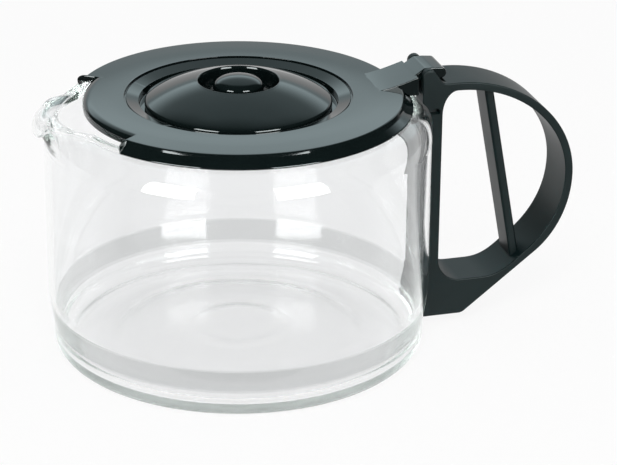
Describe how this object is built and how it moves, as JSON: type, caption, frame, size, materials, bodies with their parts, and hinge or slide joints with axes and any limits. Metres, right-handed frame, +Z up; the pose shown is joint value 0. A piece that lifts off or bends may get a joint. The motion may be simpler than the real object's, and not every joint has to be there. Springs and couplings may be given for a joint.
{
  "type": "coffee carafe",
  "caption": "Clear glass coffee jug with a black hinged lid, a domed drip well with a stop button, a pulled spout and a bonded black loop handle with a diagonal strut.",
  "frame": {"origin": "centre of the jug's flat base, on the jug's axis", "axes": "+Z up along the jug's axis, +X towards the handle, the spout towards -X, the lid's hinge along Y"},
  "size_m": [0.2007, 0.14, 0.103],
  "materials": {
    "glass": "clear polished",
    "lid_plastic": "glossy greenish black",
    "handle_plastic": "satin greenish black",
    "silicone": "translucent",
    "pin_plastic": "satin black"
  },
  "bodies": {
    "jug": {"glass_jug": "glass", "handle": "handle_plastic", "handle_bond_strip": "silicone", "foot_bond_pad": "silicone", "hinge_pin": "pin_plastic"},
    "lid": {"lid_cover": "lid_plastic", "lid_dome": "lid_plastic", "drip_stop_button": "lid_plastic"}
  },
  "joints": [
    {"name": "lid_hinge", "type": "hinge", "parent": "jug", "child": "lid", "pos_m": [0.069, 0, 0.0995], "axis": [0, 1, 0], "range_deg": [0, 100]}
  ]
}
